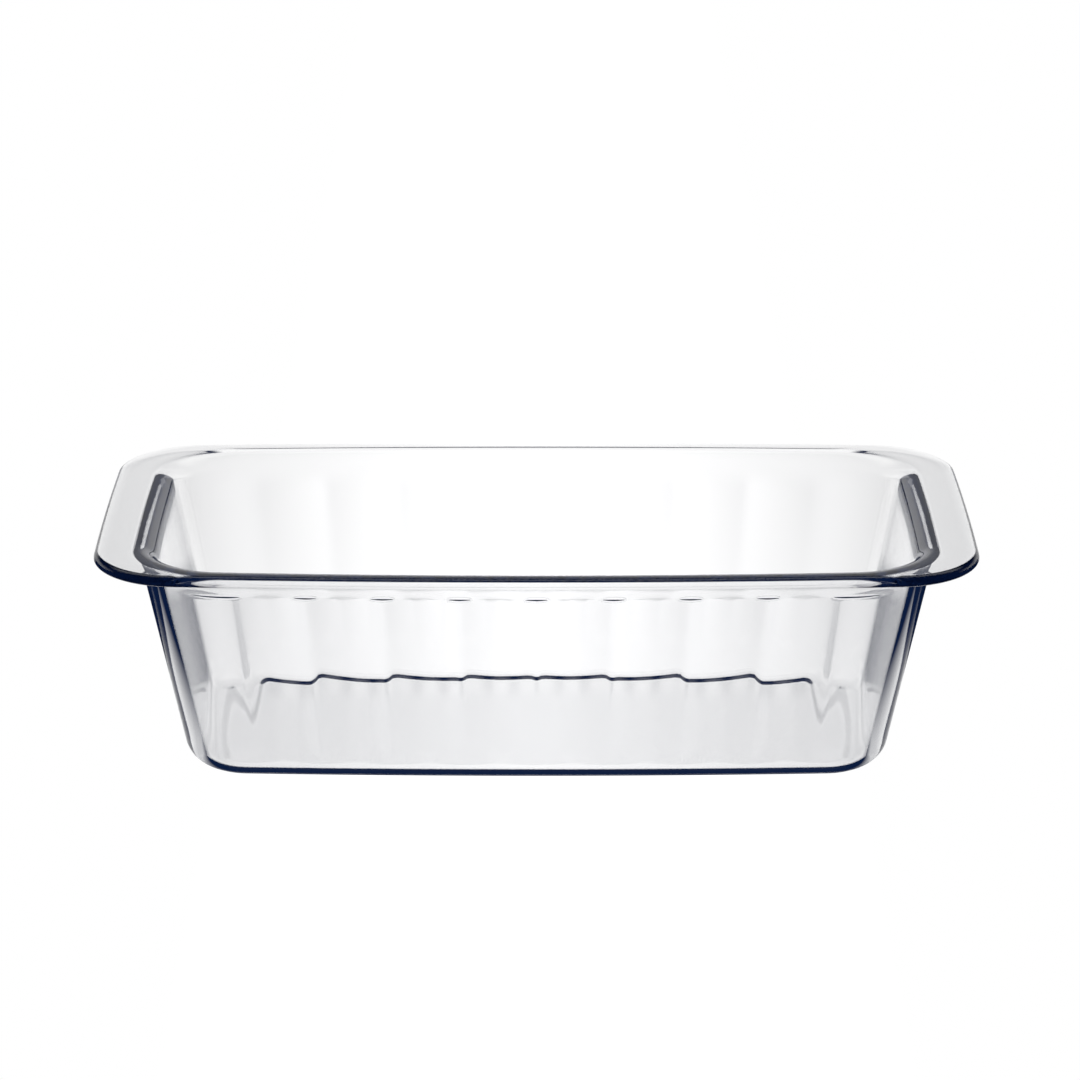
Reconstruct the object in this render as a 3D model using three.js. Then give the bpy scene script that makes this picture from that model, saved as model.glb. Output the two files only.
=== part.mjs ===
// Pressed-glass loaf pan: one clear body with a flat floor, four drafted walls of which the two long
// ones are fluted, a flat rim, and a wide handle at each short end.
//
// Units are millimetres and +Z is up. X runs along the pan and Y across it. The origin is the
// centre of the underside, so the pan stands on the plane Z = 0.
//
// The body is one loft. Each ring of it is a rounded rectangle with slightly bowed sides, and the
// rings follow the pan's section: recessed underside, foot, heel, outer wall, rim, inner wall, floor.

import * as THREE from "three";

// ---------------------------------------------------------------- driving dimensions

const LENGTH = 280; // over both handles
const WIDTH = 136; // over the rim, at the middle of the long sides
const HEIGHT = 76; // underside to rim top

const WALL = 5.4; // thickness of the walls, measured square to them
const FLOOR = 3.2; // height of the floor's top over the foot
const RIM = 3.7; // thickness of the rim and handles, which have a full round edge
const DRAFT = THREE.MathUtils.degToRad(10.8); // how far all four walls lean out

const SIDE_OVERHANG = 4.0; // how far the rim stands past the wall's line on the long sides
const HANDLE_REACH = 13.3; // the same at the short ends, where it is the handle

const RIM_CORNER = 25.3; // corner radii in plan
const WALL_CORNER_TOP = 26;
const WALL_CORNER_BASE = 19;

const BOW_TOP = 4.6; // how far the middle of a long side stands out past its ends
const BOW_BASE = 2.4;
const BOW_END = 1.0; // the same on a short end

const HEEL = 10; // outer radius between wall and underside
const FLOOR_FILLET = 4.5; // inner radius between wall and floor
const UNDER_RIM_FILLET = 3.4; // outer radius between wall and rim
const LIP = 6.8; // radius on the inner edge of the rim

const FOOT = 1.3; // width of the flat ring that the pan stands on
const RECESS = 0.5; // how far the underside rises inside that ring
const RECESS_SLOPE = 4.3; // width over which it rises

const FLUTE_PITCH = 24.2; // ridge to ridge, at the top of the flutes
const FLUTE_DEPTH = 1.55; // ridge to trough
const RIDGE_STAND = 1.0; // how far a ridge stands out of the plain wall
const FLUTE_TOP_DROP = 8.2; // from the rim top down to the top of the flutes
const FLUTE_STEP = 0.8; // height of the small step that closes the flutes at the top
const FLUTE_FOOT = 4.5; // from the heel's top up to the place where the flutes start to fade
const FLUTE_FADE = 4.5; // height over which they fade out, down to the heel

const STEPS_PER_FLUTE = 4; // facets
const STEPS_PER_CORNER = 6;
const STEPS_PER_END = 6;
const STEPS_PER_BEND = 4;
const STEPS_PER_SLOPE = 4;
const STEPS_PER_EDGE = 4;

// ---------------------------------------------------------------- outlines in plan

// An outline is a rounded rectangle: half-length a, half-width b, corner radius r, the bow of its
// sides and ends, and whether it carries the flutes.

/** The plain outer face of the wall at height z. */
function outerFace(z) {
  const lean = (HEIGHT - z) * Math.tan(DRAFT);
  return {
    a: LENGTH / 2 - HANDLE_REACH - lean,
    b: WIDTH / 2 - SIDE_OVERHANG - lean,
    r: THREE.MathUtils.lerp(WALL_CORNER_BASE, WALL_CORNER_TOP, z / HEIGHT),
    bowSide: THREE.MathUtils.lerp(BOW_BASE, BOW_TOP, z / HEIGHT),
    bowEnd: BOW_END,
    fluted: true,
  };
}

/** The smooth inner face of the wall at height z. */
function innerFace(z) {
  return { ...insetBy(outerFace(z), WALL / Math.cos(DRAFT)), fluted: false };
}

/** The outer edge of the rim and handles. */
function rimEdge() {
  const [a, b] = [LENGTH / 2, WIDTH / 2];
  return { a, b, r: RIM_CORNER, bowSide: BOW_TOP, bowEnd: BOW_END, fluted: false };
}

/** An outline pulled in by a distance all round. */
function insetBy(outline, distance) {
  const { a, b, r } = outline;
  return { ...outline, a: a - distance, b: b - distance, r: r - distance };
}

// ---------------------------------------------------------------- flutes

const heelTop = HEEL * (1 - Math.sin(DRAFT));
const fluteTop = HEIGHT - FLUTE_TOP_DROP;
const fluteFoot = heelTop + FLUTE_FOOT;

/** How far the fluted wall stands out of the plain one, at a distance from the nearest ridge. */
function relief(fromRidge) {
  const towardsRidge = 1 - fromRidge / (FLUTE_PITCH / 2);
  return FLUTE_DEPTH * (towardsRidge ** 2 - 1) + RIDGE_STAND;
}

/** The share of that relief at height z: none above the step, all on the wall, fading below. */
function reliefShare(z) {
  if (z > fluteTop - FLUTE_STEP) return 0;
  return THREE.MathUtils.smoothstep(z, fluteFoot - FLUTE_FADE, fluteFoot);
}

/** The flutes of one long side: as many whole ones as it holds, with a ridge at each end. */
function flutedSide(straight) {
  const count = Math.floor((2 * straight) / FLUTE_PITCH);
  const steps = count * STEPS_PER_FLUTE;
  const marks = [];
  for (let i = 0; i <= steps; i++) {
    const pitches = i / STEPS_PER_FLUTE;
    marks.push({
      along: ((pitches - count / 2) * FLUTE_PITCH) / straight,
      height: relief(Math.abs(pitches - Math.round(pitches)) * FLUTE_PITCH),
    });
  }
  const land = straight - (count * FLUTE_PITCH) / 2;
  return { marks, land };
}

/** A short end, which carries no flutes. Its first and last place belong to the corners. */
function plainEnd() {
  const marks = [];
  for (let i = 1; i < STEPS_PER_END; i++) {
    marks.push({ along: (2 * i) / STEPS_PER_END - 1, height: 0 });
  }
  return { marks, land: Infinity };
}

// ---------------------------------------------------------------- stations round the pan

// A station is a fixed place in every ring. Its arc centre (cx, cy) is given in shares of the
// ring's straight half-lengths, so that (1, 1) is the centre of a corner's arc, and (nx, ny) is
// the way that the wall faces there.

/** One station: an arc centre, a facing angle, and the height of the flutes' relief. */
function station(cx, cy, facing, height) {
  return { cx, cy, nx: Math.cos(facing), ny: Math.sin(facing), height };
}

/** All stations, anticlockwise from the left end of the front side. */
function stationsAround() {
  const { a, r } = outerFace(fluteTop);
  const [side, end] = [flutedSide(a - r), plainEnd()];
  const sides = [side, end, side, end];
  return sides.flatMap(({ marks, land }, quarter) => {
    const facing = ((quarter - 1) * Math.PI) / 2;
    const [nx, ny] = [Math.round(Math.cos(facing)), Math.round(Math.sin(facing))];
    const straight = marks.map(({ along, height }) =>
      station(nx - ny * along, ny + nx * along, facing, height),
    );
    const nextLand = sides[(quarter + 1) % sides.length].land;
    return [...straight, ...cornerStations(nx - ny, ny + nx, facing, land, nextLand, r)];
  });
}

/** The stations of the corner that follows a side. The outer ridges fall away into the corner. */
function cornerStations(cx, cy, facing, landBefore, landAfter, radius) {
  const stations = [];
  for (let i = 0; i <= STEPS_PER_CORNER; i++) {
    const turn = (i / STEPS_PER_CORNER) * (Math.PI / 2);
    const before = landBefore + radius * turn;
    const after = landAfter + radius * (Math.PI / 2 - turn);
    const fromRidge = Math.min(before, after, FLUTE_PITCH / 2);
    stations.push(station(cx, cy, facing + turn, Math.max(0, relief(fromRidge))));
  }
  return stations;
}

// ---------------------------------------------------------------- rings of the section

const stations = stationsAround();

/** The points of an outline at height z, one for each station. */
function ring(outline, z) {
  const { a, b, r, bowSide, bowEnd, fluted } = outline;
  const share = fluted ? reliefShare(z) : 0;
  return stations.map(({ cx, cy, nx, ny, height }) => {
    const x = cx * (a - r) + nx * (r + height * share);
    const y = cy * (b - r) + ny * (r + height * share);
    const bowedX = x * (1 - (bowEnd / a) * (y / b) ** 2);
    const bowedY = y * (1 - (bowSide / b) * (x / a) ** 2);
    return new THREE.Vector3(bowedX, bowedY, z);
  });
}

/**
 * Rings that round a wall face into a level face at height level, wall first. With up = 1 the wall
 * rises from the level face and the rings close inwards. With up = -1 it hangs below, and they open.
 */
function bend(face, level, radius, up) {
  const tangent = face(level + up * radius * (1 - Math.sin(DRAFT)));
  const rings = [];
  for (let i = 0; i <= STEPS_PER_BEND; i++) {
    const angle = THREE.MathUtils.lerp(DRAFT, Math.PI / 2, i / STEPS_PER_BEND);
    const inset = up * radius * (Math.cos(DRAFT) - Math.cos(angle));
    rings.push(ring(insetBy(tangent, inset), level + up * radius * (1 - Math.sin(angle))));
  }
  return rings;
}

/** The fillet under the rim, which leaves room for the rim's round edge where it is narrowest. */
function underRimFillet() {
  const room = SIDE_OVERHANG + RIM * Math.tan(DRAFT) - RIM / 2;
  const largest = room / Math.tan((Math.PI / 2 - DRAFT) / 2);
  return bend(outerFace, HEIGHT - RIM, Math.min(UNDER_RIM_FILLET, largest), -1);
}

/** Rings round the half-round outer edge of the rim, from its underside to its top. */
function roundEdge() {
  const radius = RIM / 2;
  const rings = [];
  for (let i = 0; i <= STEPS_PER_EDGE; i++) {
    const angle = (i / STEPS_PER_EDGE - 0.5) * Math.PI;
    const inset = radius * (1 - Math.cos(angle));
    rings.push(ring(insetBy(rimEdge(), inset), HEIGHT - radius + radius * Math.sin(angle)));
  }
  return rings;
}

/** Rings of the underside, from its recess down an eased slope to the foot's inner edge. */
function recess() {
  const footEdge = insetBy(outerFace(heelTop), HEEL * Math.cos(DRAFT) + FOOT);
  const rings = [];
  for (let i = 0; i <= STEPS_PER_SLOPE; i++) {
    const rise = 1 - i / STEPS_PER_SLOPE;
    const height = RECESS * THREE.MathUtils.smoothstep(rise, 0, 1);
    rings.push(ring(insetBy(footEdge, RECESS_SLOPE * rise), height));
  }
  return rings;
}

/** The outer wall between heel and rim: fluted from its foot to the step, then plain. */
function flutedWall() {
  return [fluteFoot, fluteTop - FLUTE_STEP, fluteTop].map((z) => ring(outerFace(z), z));
}

// ---------------------------------------------------------------- loft

/** A closed body through rings of equal count, closed by a fan over the first and last ring. */
function loft(rings) {
  const count = rings[0].length;
  const points = rings.flat();
  const first = points.push(new THREE.Vector3(0, 0, rings[0][0].z)) - 1;
  const last = points.push(new THREE.Vector3(0, 0, rings.at(-1)[0].z)) - 1;
  const topRing = (rings.length - 1) * count;
  const faces = [];
  for (let j = 0; j < count; j++) {
    const next = (j + 1) % count;
    faces.push(first, next, j);
    faces.push(last, topRing + j, topRing + next);
    for (let low = 0; low < topRing; low += count) {
      const high = low + count;
      faces.push(low + j, low + next, high + next);
      faces.push(low + j, high + next, high + j);
    }
  }
  const geometry = new THREE.BufferGeometry().setFromPoints(points);
  geometry.setIndex(faces);
  geometry.computeVertexNormals();
  return geometry;
}

/** The whole pan as one mesh of clear glass. */
function glassPan() {
  const geometry = loft([
    ...recess(),
    ...bend(outerFace, 0, HEEL, 1).reverse(),
    ...flutedWall(),
    ...underRimFillet(),
    ...roundEdge(),
    ...bend(innerFace, HEIGHT, LIP, -1).reverse(),
    ...bend(innerFace, FLOOR, FLOOR_FILLET, 1),
  ]);
  const glass = new THREE.MeshStandardMaterial({
    color: 0xe9eef2,
    roughness: 0.04,
    metalness: 0,
    transparent: true,
    opacity: 0.35,
  });
  const mesh = new THREE.Mesh(geometry, glass);
  mesh.name = "glass_pan";
  return mesh;
}

const pan = new THREE.Group();
pan.add(glassPan());

export default pan;
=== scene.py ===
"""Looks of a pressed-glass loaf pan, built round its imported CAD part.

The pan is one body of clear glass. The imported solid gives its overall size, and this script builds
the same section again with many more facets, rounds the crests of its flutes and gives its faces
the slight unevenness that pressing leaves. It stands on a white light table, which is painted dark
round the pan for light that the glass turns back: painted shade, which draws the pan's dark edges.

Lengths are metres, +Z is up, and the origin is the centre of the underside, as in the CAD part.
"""

import logging
import math
from collections.abc import Callable
from dataclasses import dataclass, field, replace
from enum import Enum

import bmesh
import bpy
import numpy as np
from mathutils import Matrix, Vector, noise


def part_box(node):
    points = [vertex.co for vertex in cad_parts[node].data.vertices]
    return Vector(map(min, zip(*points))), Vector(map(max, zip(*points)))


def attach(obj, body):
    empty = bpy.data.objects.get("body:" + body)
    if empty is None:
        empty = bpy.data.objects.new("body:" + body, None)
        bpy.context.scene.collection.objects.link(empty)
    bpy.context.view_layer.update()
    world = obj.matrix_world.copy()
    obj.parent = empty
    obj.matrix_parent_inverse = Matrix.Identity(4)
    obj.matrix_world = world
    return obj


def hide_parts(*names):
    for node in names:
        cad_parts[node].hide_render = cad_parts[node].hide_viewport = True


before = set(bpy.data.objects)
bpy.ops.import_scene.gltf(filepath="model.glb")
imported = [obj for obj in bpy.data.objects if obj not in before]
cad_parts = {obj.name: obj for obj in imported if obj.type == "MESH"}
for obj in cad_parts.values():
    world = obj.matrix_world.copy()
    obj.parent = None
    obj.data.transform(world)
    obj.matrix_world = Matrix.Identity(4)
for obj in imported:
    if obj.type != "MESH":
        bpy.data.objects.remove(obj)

MM = 0.001
ROOT = "root"
CAD_NODE = "glass_pan"
PAINTED_SHADE_TURNS = (1.0, 2.2)  # glossy turns after which the table and the studio start to be painted dark, and are all dark: painted shade

log = logging.getLogger("loaf_pan")


class Wall(Enum):
    """Which way a wall runs from the level face that it is rounded into."""

    RISES = 1
    HANGS = -1


# ---------------------------------------------------------------- materials


def linear(hex_colour: str) -> tuple[float, float, float, float]:
    """Turns an sRGB hex colour into linear RGBA.

    Args:
        hex_colour: Six hex digits, with or without a leading #.

    Returns:
        Red, green, blue and an alpha of 1, as linear values.
    """
    digits = hex_colour.lstrip("#")
    channels = [int(digits[i : i + 2], 16) / 255 for i in (0, 2, 4)]
    curved = [c / 12.92 if c <= 0.04045 else ((c + 0.055) / 1.055) ** 2.4 for c in channels]
    return (*curved, 1.0)


def add_node(
    tree: bpy.types.NodeTree,
    kind: str,
    settings: dict[str, object] | None = None,
    links: dict[str | int, bpy.types.NodeSocket] | None = None,
) -> bpy.types.Node:
    """Adds one shader node with its settings and links.

    Args:
        tree: The node tree that takes it.
        kind: Blender's name for the node's type.
        settings: Values by input socket name, or by attribute name where no socket has that name.
        links: Output sockets of other nodes, by the name or number of the input socket they feed.

    Returns:
        The new node.
    """
    node = tree.nodes.new(kind)
    for name, value in (settings or {}).items():
        if name in node.inputs:
            node.inputs[name].default_value = value
        else:
            setattr(node, name, value)
    for name, source in (links or {}).items():
        tree.links.new(source, node.inputs[name])
    return node


def combined(
    tree: bpy.types.NodeTree,
    operation: str,
    first: bpy.types.NodeSocket,
    second: bpy.types.NodeSocket | float = 0.0,
) -> bpy.types.NodeSocket:
    """Combines two values.

    Args:
        tree: The node tree that takes the step.
        operation: Blender's name for the step.
        first: The first value.
        second: The second value, or a number. A step on one value leaves it unused.

    Returns:
        The result's socket.
    """
    fixed = isinstance(second, float)
    links = {0: first} if fixed else {0: first, 1: second}
    node = add_node(tree, "ShaderNodeMath", {"operation": operation}, links)
    if fixed:
        node.inputs[1].default_value = second
    return node.outputs["Value"]


def ramp(
    tree: bpy.types.NodeTree,
    value: bpy.types.NodeSocket,
    span: tuple[float, float],
    ends: tuple[float, float] = (0.0, 1.0),
) -> bpy.types.NodeSocket:
    """A value that runs straight from one end to the other over a span, and is level beyond.

    Args:
        tree: The node tree that takes the step.
        value: What the ramp follows.
        span: Where the ramp starts and ends.
        ends: The values there.

    Returns:
        The result's socket.
    """
    settings = {"From Min": span[0], "From Max": span[1], "To Min": ends[0], "To Max": ends[1]}
    return add_node(tree, "ShaderNodeMapRange", settings, {"Value": value}).outputs["Result"]


def empty_material(name: str) -> bpy.types.Material:
    """Makes a material whose node tree is empty.

    Args:
        name: The material's name.

    Returns:
        The new material.
    """
    material = bpy.data.materials.new(name)
    material.use_nodes = True
    material.node_tree.nodes.clear()
    return material


@dataclass(frozen=True)
class PressedGlass:
    """Clear soda-lime glass, pressed in an iron mould and fire-polished.

    Soda-lime glass has an IOR of about 1.52. A trace of iron gives it a cast that only shows where
    light runs a long way through it, so the faces look clear and the edges blue. The flame melts
    the mould's texture away and leaves a bright surface with long, faint ripples, and handling
    adds a fine haze in places: polish holds the roughness outside and inside those places.
    """

    tint: str = "#ffffff"
    edge_tint: str = "#7a88c4"
    absorption: float = 2.0
    ior: float = 1.52
    ripple_spacing: float = 9.0 * MM
    ripple_height: float = 0.007 * MM
    ripple_detail: float = 1.5
    ripple_roughness: float = 0.4
    wear_spacing: float = 2.2 * MM
    wear_detail: float = 3.0
    wear_roughness: float = 0.6
    wear_span: tuple[float, float] = (0.45, 0.8)
    polish: tuple[float, float] = (0.0, 0.006)

    def material(self) -> bpy.types.Material:
        """Builds the glass.

        Returns:
            The material, with faint ripples and handling haze on its surface and a blue body.
        """
        material = empty_material("pressed soda-lime glass, fire-polished")
        tree = material.node_tree
        place = add_node(tree, "ShaderNodeTexCoord")
        ripple = add_node(
            tree,
            "ShaderNodeTexNoise",
            {
                "Scale": 1 / self.ripple_spacing,
                "Detail": self.ripple_detail,
                "Roughness": self.ripple_roughness,
            },
            {"Vector": place.outputs["Object"]},
        )
        bump = add_node(
            tree,
            "ShaderNodeBump",
            {"Strength": 1.0, "Distance": self.ripple_height},
            {"Height": ripple.outputs["Fac"]},
        )
        wear = add_node(
            tree,
            "ShaderNodeTexNoise",
            {
                "Scale": 1 / self.wear_spacing,
                "Detail": self.wear_detail,
                "Roughness": self.wear_roughness,
            },
            {"Vector": place.outputs["Object"]},
        )
        haze = ramp(tree, wear.outputs["Fac"], self.wear_span, self.polish)
        surface = add_node(
            tree,
            "ShaderNodeBsdfPrincipled",
            {"Base Color": linear(self.tint), "IOR": self.ior, "Transmission Weight": 1.0},
            {"Roughness": haze, "Normal": bump.outputs["Normal"]},
        )
        body = add_node(
            tree,
            "ShaderNodeVolumeAbsorption",
            {"Color": linear(self.edge_tint), "Density": self.absorption},
        )
        add_node(
            tree,
            "ShaderNodeOutputMaterial",
            links={"Surface": surface.outputs["BSDF"], "Volume": body.outputs["Volume"]},
        )
        return material


@dataclass(frozen=True)
class LitAcrylic:
    """The white acrylic top of a light table.

    Its cast sheet glows all over, a little less towards the sides, so nothing that stands on it
    casts a shadow. Seen straight from the camera it is never dimmer than plain white. Light that the
    glass turns back finds it painted dark in parts: painted shade, standing in for black cards laid
    round the pan, in front of it, close behind it, and at its sides, drawing apart by spread towards
    the back. Light that turns inside the glass more often finds it painted dark all over. That
    painted shade is what draws the pan's dark edges.

    front, behind and aside are the spans over which the painted shade sets in, far_behind the span
    over which the painted shade behind ends, and side_reach is where the glow comes down to
    side_brightness.
    """

    white: str = "#ffffff"
    # colour of the painted shade round the pan
    dark: str = "#0c1c3c"
    brightness: float = 1.26
    side_brightness: float = 0.86
    side_reach: float = 0.16
    painted_shade_brightness: float = 1.0
    front: tuple[float, float] = (-0.028, -0.036)
    behind: tuple[float, float] = (0.035, 0.045)
    far_behind: tuple[float, float] = (0.180, 0.150)
    aside: tuple[float, float] = (0.128, 0.18)
    spread: float = 0.8

    def material(self) -> bpy.types.Material:
        """Builds the glowing sheet and its painted shade.

        Returns:
            The material.
        """
        material = empty_material("white acrylic lit from below, with painted shade")
        tree = material.node_tree
        path = add_node(tree, "ShaderNodeLightPath")
        place = add_node(tree, "ShaderNodeTexCoord")
        split = add_node(tree, "ShaderNodeSeparateXYZ", links={"Vector": place.outputs["Object"]})
        x, y = split.outputs["X"], split.outputs["Y"]
        off_centre = combined(tree, "ABSOLUTE", x)
        # Places round the pan where the table is painted dark for light that the glass turns back:
        # painted shade in front of, close behind and beside it.
        parted = combined(tree, "SUBTRACT", off_centre, combined(tree, "MULTIPLY", y, self.spread))
        close_behind = combined(
            tree, "MULTIPLY", ramp(tree, y, self.behind), ramp(tree, y, self.far_behind)
        )
        round_about = combined(
            tree, "MAXIMUM", ramp(tree, y, self.front), ramp(tree, parted, self.aside)
        )
        painted_shade_places = combined(tree, "MAXIMUM", round_about, close_behind)
        # Painted shade: light that the glass turned back meets those places painted dark, and after
        # more turns meets the whole table painted dark.
        turns = path.outputs["Glossy Depth"]
        turned_back = combined(tree, "MINIMUM", turns, 1.0)
        painted_shade_met = combined(tree, "MULTIPLY", turned_back, painted_shade_places)
        painted_shade_share = combined(tree, "MAXIMUM", painted_shade_met, ramp(tree, turns, PAINTED_SHADE_TURNS))
        glow = ramp(
            tree, off_centre, (0.0, self.side_reach), (self.brightness, self.side_brightness)
        )
        lit = add_node(
            tree,
            "ShaderNodeEmission",
            {"Color": linear(self.white)},
            {"Strength": combined(tree, "MAXIMUM", glow, path.outputs["Is Camera Ray"])},
        )
        # The navy glow of the painted shade.
        painted_shade_glow = add_node(
            tree,
            "ShaderNodeEmission",
            {"Color": linear(self.dark), "Strength": self.painted_shade_brightness},
        )
        mixed = add_node(
            tree,
            "ShaderNodeMixShader",
            links={"Fac": painted_shade_share, 1: lit.outputs["Emission"], 2: painted_shade_glow.outputs["Emission"]},
        )
        add_node(tree, "ShaderNodeOutputMaterial", links={"Surface": mixed.outputs["Shader"]})
        return material


# ---------------------------------------------------------------- outlines in plan


@dataclass(frozen=True)
class Outline:
    """A rounded rectangle in plan, whose long sides and ends bow out a little."""

    half_length: float
    half_width: float
    corner: float
    bow_side: float
    bow_end: float

    def inset(self, distance: float) -> "Outline":
        """The same outline, pulled in by a distance all round."""
        return replace(
            self,
            half_length=self.half_length - distance,
            half_width=self.half_width - distance,
            corner=self.corner - distance,
        )


@dataclass(frozen=True)
class Stations:
    """Fixed places round every ring of the section.

    centre holds each place's arc centre in shares of the ring's straight half-lengths, facing the
    way that the wall faces there, relief how far the flutes stand out of the wall, and closing the
    height over which they run out at the top.
    """

    centre: np.ndarray
    facing: np.ndarray
    relief: np.ndarray
    closing: np.ndarray


@dataclass(frozen=True)
class Run:
    """Places along one straight stretch, in shares of its half-length.

    relief holds the flutes' height at each place, and land the length from the outermost ridge to
    the stretch's end.
    """

    along: np.ndarray
    relief: np.ndarray
    land: float


@dataclass(frozen=True)
class Flutes:
    """Concave flutes down the outside of the long sides, with narrow ridges between them.

    At the top they close with a sharp little step, and run out softly where the wall faces back by
    more than soft_facing. Below their foot they fade out into the heel.
    """

    pitch: float = 24.2 * MM
    depth: float = 1.55 * MM
    ridge_stand: float = 1.0 * MM
    crest_radius: float = 0.8 * MM
    top_drop: float = 8.2 * MM
    step: float = 0.25 * MM
    soft_step: float = 5.0 * MM
    soft_facing: float = 0.1
    foot: float = 4.5 * MM
    fade: float = 4.5 * MM
    shoulder_width: float = 16.0 * MM

    def height(self, from_ridge: np.ndarray) -> np.ndarray:
        """How far the fluted wall stands out of the plain one.

        Args:
            from_ridge: Distances along the wall to the nearest ridge.

        Returns:
            Heights, which fall from the ridge's stand to the trough of a flute.
        """
        half = self.pitch / 2
        crest = self.crest_radius
        rounded = np.hypot(from_ridge, crest) - crest
        away = rounded / (math.hypot(half, crest) - crest)
        return self.depth * ((1 - away) ** 2 - 1) + self.ridge_stand

    def shoulder(self, from_ridge: np.ndarray) -> np.ndarray:
        """The same height beyond the outermost ridge, which falls away into the corner."""
        return self.ridge_stand * (1 - smooth_share(from_ridge / self.shoulder_width))


@dataclass(frozen=True)
class Section:
    """One level of the pan's section: an outline, its height, and whether it carries the flutes."""

    outline: Outline
    z: float
    fluted: bool = False


def smooth_share(x: np.ndarray | float) -> np.ndarray:
    """x held between 0 and 1, with its ends eased."""
    held = np.clip(x, 0.0, 1.0)
    return held * held * (3 - 2 * held)


def between(low: np.ndarray, high: np.ndarray, steps: int) -> list[np.ndarray]:
    """Rings evenly spaced between two rings, without either.

    Args:
        low: The first ring.
        high: The second ring.
        steps: How many bands the gap is cut into.

    Returns:
        The rings between them.
    """
    return [low + (high - low) * share for share in np.linspace(0, 1, steps + 1)[1:-1]]


def closed_loft(rings: np.ndarray) -> tuple[np.ndarray, list[tuple[int, ...]]]:
    """Skins rings of equal count, closed by one level face over the first and last ring.

    Args:
        rings: An array of ring, station and coordinate, with the body inside as they turn.

    Returns:
        Points and faces.
    """
    levels, count, _ = rings.shape
    here = np.arange(count)
    after = (here + 1) % count
    faces = [
        (row + j, row + k, row + count + k, row + count + j)
        for row in range(0, (levels - 1) * count, count)
        for j, k in zip(here, after)
    ]
    top = (levels - 1) * count
    return rings.reshape(-1, 3), [*faces, tuple(here[::-1]), tuple(top + here)]


def mesh_object(name: str, points: np.ndarray, faces: list[tuple[int, ...]]) -> bpy.types.Object:
    """Puts a smooth-shaded mesh into the scene.

    Args:
        name: The object's name.
        points: Its vertices.
        faces: Its faces, as rows of vertex numbers.

    Returns:
        The new object.
    """
    mesh = bpy.data.meshes.new(name)
    mesh.from_pydata(points.tolist(), [], [tuple(map(int, f)) for f in faces])
    mesh.polygons.foreach_set("use_smooth", np.ones(len(faces), bool))
    mesh.update()
    made = bpy.data.objects.new(name, mesh)
    bpy.context.scene.collection.objects.link(made)
    return made


@dataclass(frozen=True)
class Unevenness:
    """What pressing and fire-polishing leave in the glass: faces that aren't quite true.

    Hot glass shrinks from the iron as it chills, in patches a few times as wide as the wall is
    thick. Level faces stay true, and levelling sets how suddenly they do as a face lies down.
    """

    patch: float = 20.0 * MM
    height: float = 0.012 * MM
    levelling: int = 4

    def apply(self, mesh: bpy.types.Mesh) -> None:
        """Moves every vertex along its normal by a smooth, fixed noise.

        Args:
            mesh: The mesh to change.
        """
        count = len(mesh.vertices)
        places = np.empty(count * 3, np.float32)
        normals = np.empty(count * 3, np.float32)
        mesh.vertices.foreach_get("co", places)
        mesh.vertex_normals.foreach_get("vector", normals)
        places, normals = places.reshape(-1, 3), normals.reshape(-1, 3)
        heights = [noise.noise(Vector(place) / self.patch) * self.height for place in places]
        upright = 1 - np.abs(normals[:, 2]) ** self.levelling
        moved = places + normals * (np.array(heights, np.float32) * upright)[:, None]
        mesh.vertices.foreach_set("co", moved.ravel())
        mesh.update()


# ---------------------------------------------------------------- the pan


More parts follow.
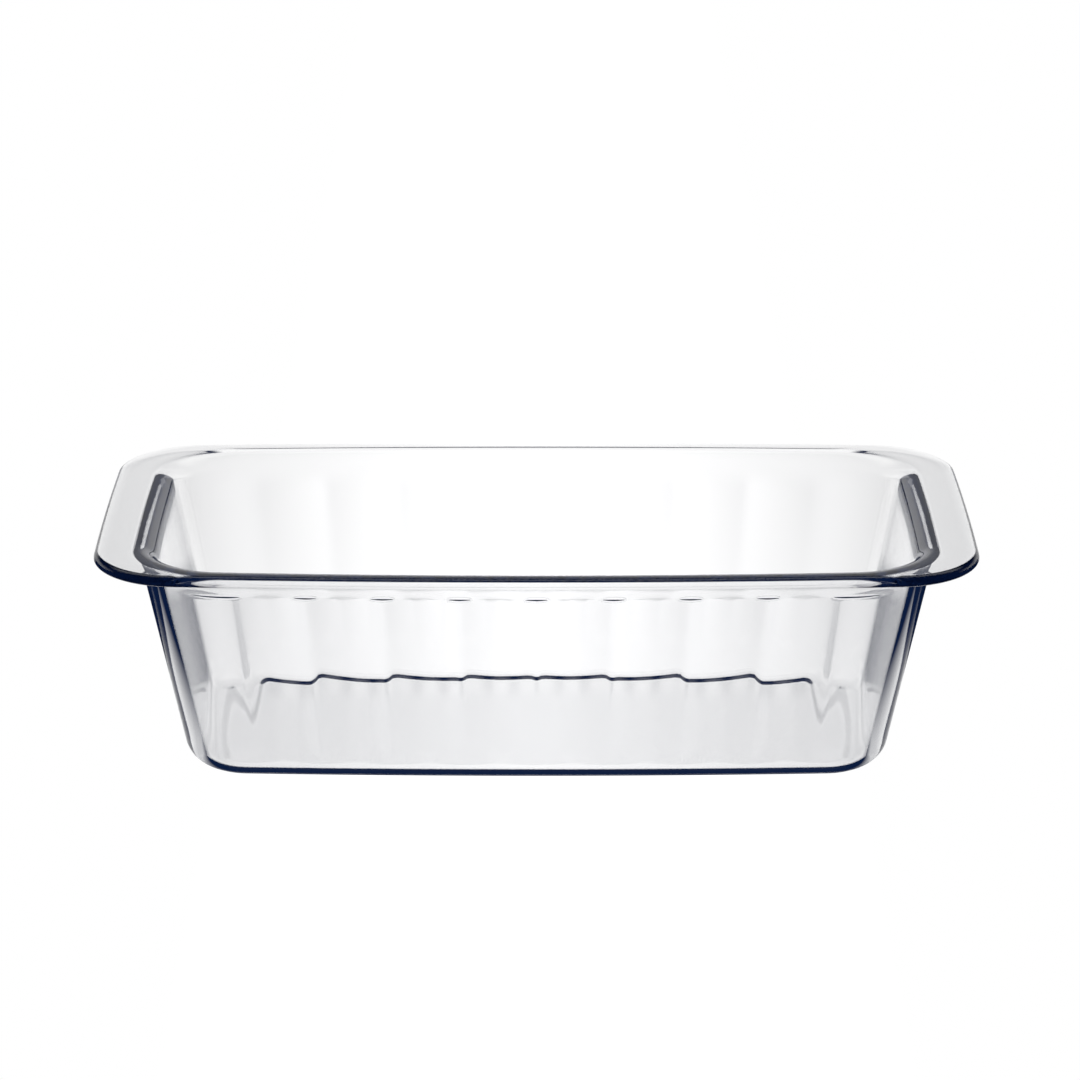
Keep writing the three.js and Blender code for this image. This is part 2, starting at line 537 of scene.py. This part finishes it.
@dataclass
class GlassPan:
    """The pan: one pressed body with a flat floor, four walls, two of them fluted, and two handles.

    length, width and height come from the CAD part's box. The rest is the section, which follows
    the CAD part's, and the number of facets in each of its parts.
    """

    length: float
    width: float
    height: float
    glass: PressedGlass = field(default_factory=PressedGlass)
    flutes: Flutes = field(default_factory=Flutes)
    unevenness: Unevenness = field(default_factory=Unevenness)

    wall: float = 5.4 * MM
    floor: float = 3.2 * MM
    rim: float = 3.7 * MM
    draft: float = math.radians(10.8)
    side_overhang: float = 4.0 * MM
    handle_reach: float = 13.3 * MM
    rim_corner: float = 25.3 * MM
    wall_corner_top: float = 26.0 * MM
    wall_corner_base: float = 19.0 * MM
    bow_top: float = 4.6 * MM
    bow_base: float = 2.4 * MM
    bow_end: float = 1.0 * MM
    heel: float = 10.0 * MM
    floor_fillet: float = 4.5 * MM
    under_rim_fillet: float = 3.4 * MM
    lip: float = 6.8 * MM
    foot: float = 1.3 * MM
    recess: float = 0.5 * MM
    recess_slope: float = 4.3 * MM
    margin: float = 0.5 * MM

    steps_per_flute: int = 16
    steps_per_end: int = 24
    steps_per_corner: int = 24
    steps_per_bend: int = 10
    steps_per_edge: int = 12
    steps_per_wall: int = 18
    steps_per_slope: int = 8
    steps_per_step: int = 4
    steps_per_ledge: int = 4

    @property
    def flute_top(self) -> float:
        """Height of the flutes' closed top end."""
        return self.height - self.flutes.top_drop

    @property
    def flute_foot(self) -> float:
        """Height where the flutes start to fade into the heel."""
        return self.heel * (1 - math.sin(self.draft)) + self.flutes.foot

    def outer_face(self, z: float) -> Outline:
        """The plain outer face of the wall at height z."""
        lean = (self.height - z) * math.tan(self.draft)
        share = z / self.height
        return Outline(
            half_length=self.length / 2 - self.handle_reach - lean,
            half_width=self.width / 2 - self.side_overhang - lean,
            corner=self.wall_corner_base + (self.wall_corner_top - self.wall_corner_base) * share,
            bow_side=self.bow_base + (self.bow_top - self.bow_base) * share,
            bow_end=self.bow_end,
        )

    def inner_face(self, z: float) -> Outline:
        """The smooth inner face of the wall at height z."""
        return self.outer_face(z).inset(self.wall / math.cos(self.draft))

    def rim_edge(self) -> Outline:
        """The outer edge of the rim and handles."""
        return Outline(self.length / 2, self.width / 2, self.rim_corner, self.bow_top, self.bow_end)

    def relief_share(self, z: float, closing: np.ndarray) -> np.ndarray:
        """The share of the flutes' relief at height z.

        Args:
            z: Height above the underside.
            closing: The height over which the flutes run out at the top, at each station.

        Returns:
            0 above the flutes' top, 1 on the wall, and a smooth fade between foot and heel.
        """
        opening = smooth_share((z - self.flute_foot + self.flutes.fade) / self.flutes.fade)
        return np.minimum(np.clip((self.flute_top - z) / closing, 0.0, 1.0), opening)

    def fluted_side(self, straight: float) -> Run:
        """The flutes of one long side: as many whole ones as it holds, with a ridge at each end.

        Args:
            straight: Half the length of the side's straight stretch.

        Returns:
            The places along it.
        """
        pitch = self.flutes.pitch
        count = math.floor(2 * straight / pitch)
        pitches = np.arange(count * self.steps_per_flute + 1) / self.steps_per_flute
        return Run(
            along=(pitches - count / 2) * pitch / straight,
            relief=self.flutes.height(np.abs(pitches - np.round(pitches)) * pitch),
            land=straight - count * pitch / 2,
        )

    def plain_end(self) -> Run:
        """The places along a short end, which carries no flutes."""
        along = np.linspace(-1, 1, self.steps_per_end + 1)[1:-1]
        return Run(along=along, relief=np.zeros(len(along)), land=math.inf)

    def stations(self) -> Stations:
        """Lays out the places round the pan, anticlockwise from the left end of the front side.

        Returns:
            The stations of two fluted sides, two plain ends and four corners.
        """
        plan = self.outer_face(self.flute_top)
        side = self.fluted_side(plan.half_length - plan.corner)
        end = self.plain_end()
        centres, facings, reliefs = [], [], []
        for quarter, (run, following) in enumerate(zip([side, end] * 2, [end, side] * 2)):
            angle = (quarter - 1) * math.pi / 2
            nx, ny = round(math.cos(angle)), round(math.sin(angle))
            centres.append(np.stack([nx - ny * run.along, ny + nx * run.along], axis=1))
            facings.append(np.full(len(run.along), angle))
            reliefs.append(run.relief)
            turn = np.linspace(0, math.pi / 2, self.steps_per_corner + 1)
            before = run.land + plan.corner * turn
            after = following.land + plan.corner * (math.pi / 2 - turn)
            near = np.minimum(before, after)
            centres.append(np.tile([nx - ny, ny + nx], (len(turn), 1)))
            facings.append(angle + turn)
            reliefs.append(self.flutes.shoulder(near))
        angles = np.concatenate(facings)
        facing = np.stack([np.cos(angles), np.sin(angles)], axis=1)
        facing_back = facing[:, 1] > self.flutes.soft_facing
        closing = np.where(facing_back, self.flutes.soft_step, self.flutes.step)
        return Stations(np.concatenate(centres), facing, np.concatenate(reliefs), closing)

    def ring(self, stations: Stations, section: Section) -> np.ndarray:
        """The points of a section, one for each station.

        Args:
            stations: The places round the pan.
            section: The outline to follow and its height.

        Returns:
            An array of points.
        """
        outline = section.outline
        a, b, r = outline.half_length, outline.half_width, outline.corner
        share = self.relief_share(section.z, stations.closing) if section.fluted else 0.0
        stand = (r + stations.relief * share)[:, None]
        flat = stations.centre * [a - r, b - r] + stations.facing * stand
        x, y = flat[:, 0], flat[:, 1]
        bowed_x = x * (1 - (outline.bow_end / a) * (y / b) ** 2)
        bowed_y = y * (1 - (outline.bow_side / b) * (x / a) ** 2)
        return np.stack([bowed_x, bowed_y, np.full(len(x), section.z)], axis=1)

    def bend(
        self, face: Callable[[float], Outline], level: float, radius: float, wall: Wall
    ) -> list[Section]:
        """Rounds a wall face into a level face, wall first.

        Args:
            face: Gives the wall's outline at a height.
            level: Height of the level face.
            radius: Radius of the bend.
            wall: Which way the wall runs from the level face.

        Returns:
            Sections from the wall's tangent line to the level face's.
        """
        up = wall.value
        tangent = face(level + up * radius * (1 - math.sin(self.draft)))
        sections = []
        for angle in np.linspace(self.draft, math.pi / 2, self.steps_per_bend + 1):
            inset = up * radius * (math.cos(self.draft) - math.cos(angle))
            z = level + up * radius * (1 - math.sin(angle))
            sections.append(Section(tangent.inset(inset), z))
        return sections

    def outer_sections(self) -> list[Section]:
        """The outside of the pan, from inside the underside's recess to the underside of the rim.

        Returns:
            Sections, of which those of the wall carry the flutes.
        """
        heel = self.bend(self.outer_face, 0.0, self.heel, Wall.RISES)[::-1]
        room = self.side_overhang + self.rim * math.tan(self.draft) - self.rim / 2
        largest = room / math.tan((math.pi / 2 - self.draft) / 2)
        radius = min(self.under_rim_fillet, largest)
        fillet = self.bend(self.outer_face, self.height - self.rim, radius, Wall.HANGS)
        soft = self.flute_top - self.flutes.soft_step
        sharp = self.flute_top - self.flutes.step
        levels = [
            *np.linspace(heel[-1].z, soft, self.steps_per_wall)[1:],
            *np.linspace(soft, sharp, self.steps_per_step + 1)[1:],
            *np.linspace(sharp, self.flute_top, self.steps_per_step + 1)[1:],
        ]
        wall = [Section(self.outer_face(z), z, fluted=True) for z in levels]
        return [*self.underside_sections(), *heel, *wall, *fillet]

    def underside_sections(self) -> list[Section]:
        """The underside, from its recess down an eased slope to the foot's inner edge."""
        heel_top = self.heel * (1 - math.sin(self.draft))
        foot_edge = self.outer_face(heel_top).inset(self.heel * math.cos(self.draft) + self.foot)
        slope = [
            Section(foot_edge.inset(self.recess_slope * rise), self.recess * smooth_share(rise))
            for rise in np.linspace(1, 0, self.steps_per_slope + 1)
        ]
        return [self.flat_margin(slope[0]), *slope]

    def flat_margin(self, edge: Section) -> Section:
        """A ring just inside a level face's edge, so that the shading inside it is level."""
        return replace(edge, outline=edge.outline.inset(self.margin))

    def edge_sections(self) -> list[Section]:
        """The half-round outer edge of the rim and handles, from its underside to its top."""
        radius = self.rim / 2
        angles = np.linspace(-math.pi / 2, math.pi / 2, self.steps_per_edge + 1)
        return [
            Section(
                self.rim_edge().inset(radius * (1 - math.cos(angle))),
                self.height - radius + radius * math.sin(angle),
            )
            for angle in angles
        ]

    def inner_sections(self) -> list[Section]:
        """The inside of the pan, from the rim's top to the floor's edge."""
        lip = self.bend(self.inner_face, self.height, self.lip, Wall.HANGS)[::-1]
        fillet = self.bend(self.inner_face, self.floor, self.floor_fillet, Wall.RISES)
        levels = np.linspace(lip[-1].z, fillet[0].z, self.steps_per_wall)[1:-1]
        wall = [Section(self.inner_face(z), z) for z in levels]
        return [*lip, *wall, *fillet, self.flat_margin(fillet[-1])]

    def rings(self) -> np.ndarray:
        """All rings of the section, from inside the underside's recess round to the flat floor.

        Returns:
            An array of ring, station and coordinate.
        """
        stations = self.stations()
        outside = [self.ring(stations, s) for s in self.outer_sections()]
        edge = [self.ring(stations, s) for s in self.edge_sections()]
        inside = [self.ring(stations, s) for s in self.inner_sections()]
        return np.array(
            [
                *outside,
                *between(outside[-1], edge[0], self.steps_per_ledge),
                *edge,
                *between(edge[-1], inside[0], self.steps_per_ledge),
                *inside,
            ]
        )

    def build(self) -> bpy.types.Object:
        """Builds and dresses the pan.

        Returns:
            The pan as one closed, smooth-shaded mesh in its glass.
        """
        pan = mesh_object("pressed_glass_pan", *closed_loft(self.rings()))
        self.unevenness.apply(pan.data)
        pan.data.materials.append(self.glass.material())
        return pan


# ---------------------------------------------------------------- the studio


@dataclass
class LightTable:
    """The table that the pan stands on, which is also all of the background."""

    top: LitAcrylic = field(default_factory=LitAcrylic)
    radius: float = 4.0
    gap: float = 0.5 * MM
    corners: int = 96

    def build(self) -> bpy.types.Object:
        """Builds the table's top as a wide, level disc.

        Returns:
            The table's top, which is not part of the object.
        """
        mesh = bpy.data.meshes.new("light_table")
        disc = bmesh.new()
        bmesh.ops.create_circle(
            disc,
            cap_ends=True,
            segments=self.corners,
            radius=self.radius,
            matrix=Matrix.Translation((0, 0, -self.gap)),
        )
        disc.to_mesh(mesh)
        disc.free()
        mesh.materials.append(self.top.material())
        table = bpy.data.objects.new("light_table", mesh)
        bpy.context.scene.collection.objects.link(table)
        return table


@dataclass
class StudioRoom:
    """The studio round the table: dark in front, a lit backdrop behind, and a soft light overhead.
    Light that turns inside the glass more than once meets it painted dark all over: painted shade.

    backdrop_top and overhead_edge are the sines of the angles above the horizon where the backdrop
    ends and where the overhead light starts. front_edge holds the same towards the back, where the
    dark front turns into the lit back.
    """

    # the dark studio in front and below, and also the colour of its painted shade
    surround_and_painted_shade: str = "#0c1c3c"
    light: str = "#ffffff"
    brightness: float = 1.0
    front_edge: tuple[float, float] = (0.0, 0.35)
    backdrop_top: tuple[float, float] = (0.43, 0.23)
    overhead_edge: tuple[float, float] = (0.6, 0.75)

    def build(self) -> bpy.types.World:
        """Builds the studio and makes it the scene's world.

        Returns:
            The world.
        """
        room = bpy.data.worlds.new("studio")
        room.use_nodes = True
        tree = room.node_tree
        tree.nodes.clear()
        place = add_node(tree, "ShaderNodeTexCoord")
        generated = place.outputs["Generated"]
        split = add_node(tree, "ShaderNodeSeparateXYZ", links={"Vector": generated})
        up, back = split.outputs["Z"], split.outputs["Y"]
        lights = combined(
            tree, "MAXIMUM", ramp(tree, up, self.backdrop_top), ramp(tree, up, self.overhead_edge)
        )
        # Painted shade: after more than one turn inside the glass, light meets the studio painted
        # dark.
        path = add_node(tree, "ShaderNodeLightPath")
        clear_of_painted_shade = ramp(tree, path.outputs["Glossy Depth"], PAINTED_SHADE_TURNS, (1.0, 0.0))
        seen = combined(tree, "MULTIPLY", ramp(tree, back, self.front_edge), clear_of_painted_shade)
        colour = add_node(
            tree,
            "ShaderNodeMixRGB",
            {"Color1": linear(self.surround_and_painted_shade), "Color2": linear(self.light)},
            {"Fac": combined(tree, "MULTIPLY", lights, seen)},
        )
        walls = add_node(
            tree,
            "ShaderNodeBackground",
            {"Strength": self.brightness},
            {"Color": colour.outputs["Color"]},
        )
        add_node(tree, "ShaderNodeOutputWorld", links={"Surface": walls.outputs["Background"]})
        bpy.context.scene.world = room
        return room


@dataclass
class StudioCamera:
    """A long lens that looks down on the pan from the front.

    distance runs from the point at aim_height over the origin, and shift is the lens's shift
    sideways, as a share of the frame's width.
    """

    lens: float = 132.0
    pitch: float = math.radians(20.0)
    distance: float = 1.2895
    aim_height: float = 64.8 * MM
    shift: float = 0.0032

    def build(self) -> bpy.types.Object:
        """Places the camera and makes it the scene's.

        Returns:
            The camera.
        """
        data = bpy.data.cameras.new("studio_camera")
        data.lens = self.lens
        data.shift_x = self.shift
        camera = bpy.data.objects.new("studio_camera", data)
        back = Vector((0, -math.cos(self.pitch), math.sin(self.pitch)))
        camera.location = Vector((0, 0, self.aim_height)) + back * self.distance
        camera.rotation_euler = (math.pi / 2 - self.pitch, 0, 0)
        bpy.context.scene.collection.objects.link(camera)
        bpy.context.scene.camera = camera
        return camera


def set_light_paths(scene: bpy.types.Scene, bounces: int = 32) -> None:
    """Lets light run through all the walls of the glass, and shows white as white.

    Args:
        scene: The scene to set.
        bounces: The most surfaces that a ray may cross or strike.
    """
    scene.cycles.max_bounces = bounces
    scene.cycles.transmission_bounces = bounces
    scene.cycles.glossy_bounces = bounces
    scene.view_settings.view_transform = "Standard"


def corners(bounds: tuple[Vector, Vector]) -> list[list[float]]:
    """The lowest and highest corner of a box as plain lists."""
    return [list(corner) for corner in bounds]


def main() -> None:
    """Builds the pan, its table and its camera, and reports each piece."""
    logging.basicConfig(level=logging.INFO, format="%(name)s: %(message)s")
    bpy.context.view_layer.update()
    low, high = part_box(CAD_NODE)
    size = high - low
    pan = GlassPan(length=size.x, width=size.y, height=size.z).build()
    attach(pan, ROOT)
    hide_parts(CAD_NODE)
    log.info("%s: %d faces", pan.name, len(pan.data.polygons))
    stand = LightTable()
    table = stand.build()
    log.info("%s: radius %.1f m", table.name, stand.radius)
    room = StudioRoom().build()
    log.info("%s: dark in front, lit behind and above", room.name)
    camera = StudioCamera().build()
    log.info("%s: %.0f mm", camera.name, camera.data.lens)
    set_light_paths(bpy.context.scene)


if __name__ == "__main__":
    main()
